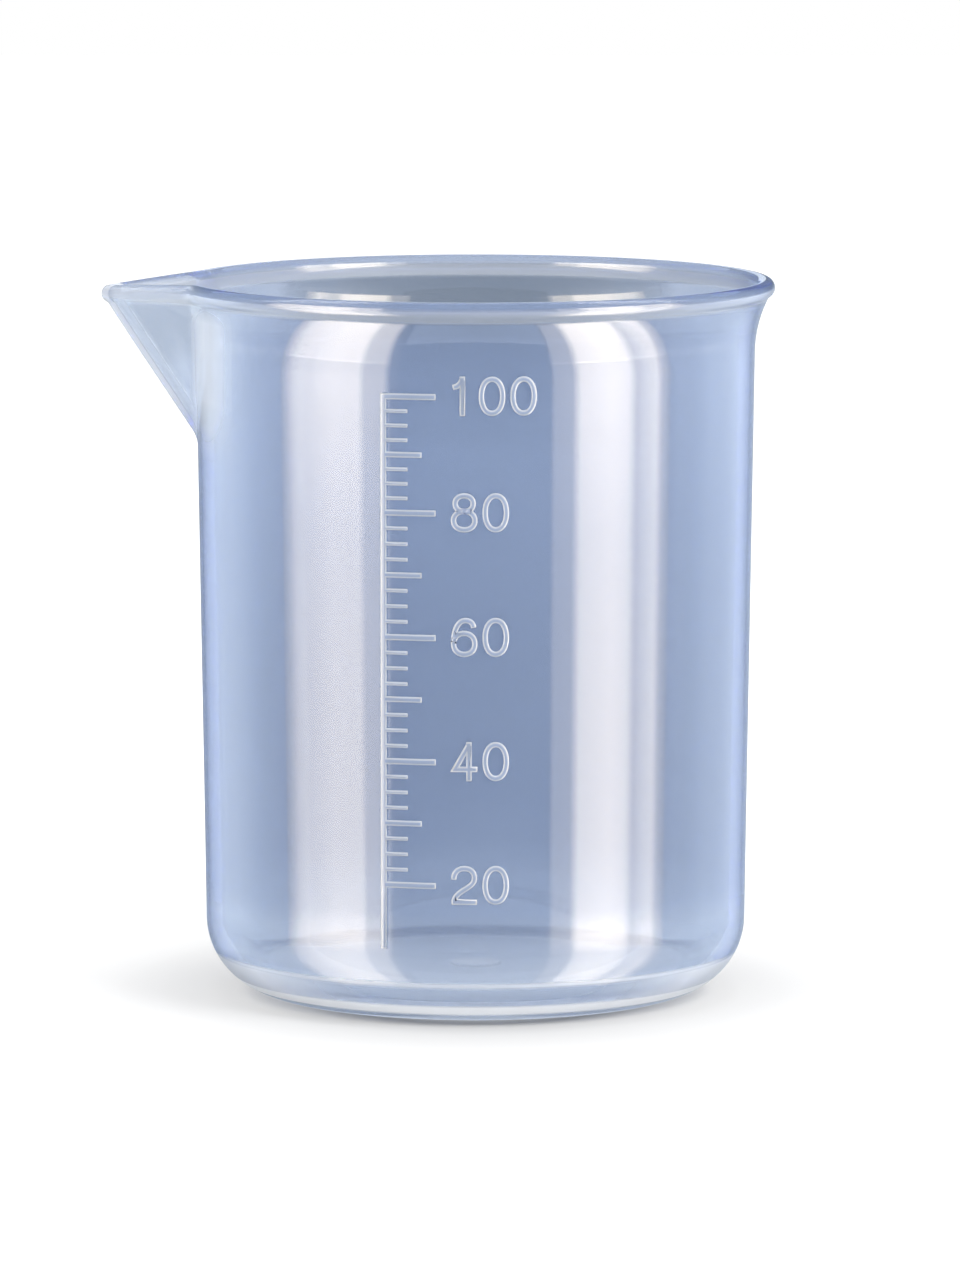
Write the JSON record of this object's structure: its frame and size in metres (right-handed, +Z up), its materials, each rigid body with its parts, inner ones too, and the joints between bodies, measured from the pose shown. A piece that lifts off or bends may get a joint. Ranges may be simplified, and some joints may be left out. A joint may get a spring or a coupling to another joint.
{
  "type": "measuring cup",
  "caption": "Clear, slightly tapered round measuring cup with a flat base, a flared rolled rim drawn out into a V pouring spout, and a raised volume scale on the front wall.",
  "frame": {"origin": "where the cup's axis meets the table, in the middle of the flat underside", "axes": "+Z up along the cup's axis, -X along the pouring spout, -Y out of the front wall with the scale"},
  "size_m": [0.0638, 0.0568, 0.068],
  "materials": {
    "clear_body": "clear with a faint blue tint, smooth and glossy",
    "raised_marks": "clear raised relief with bright edges"
  },
  "bodies": {
    "root": {"cup_shell": "clear_body", "graduation_scale": "raised_marks", "gate_mark": "raised_marks"}
  },
  "joints": []
}
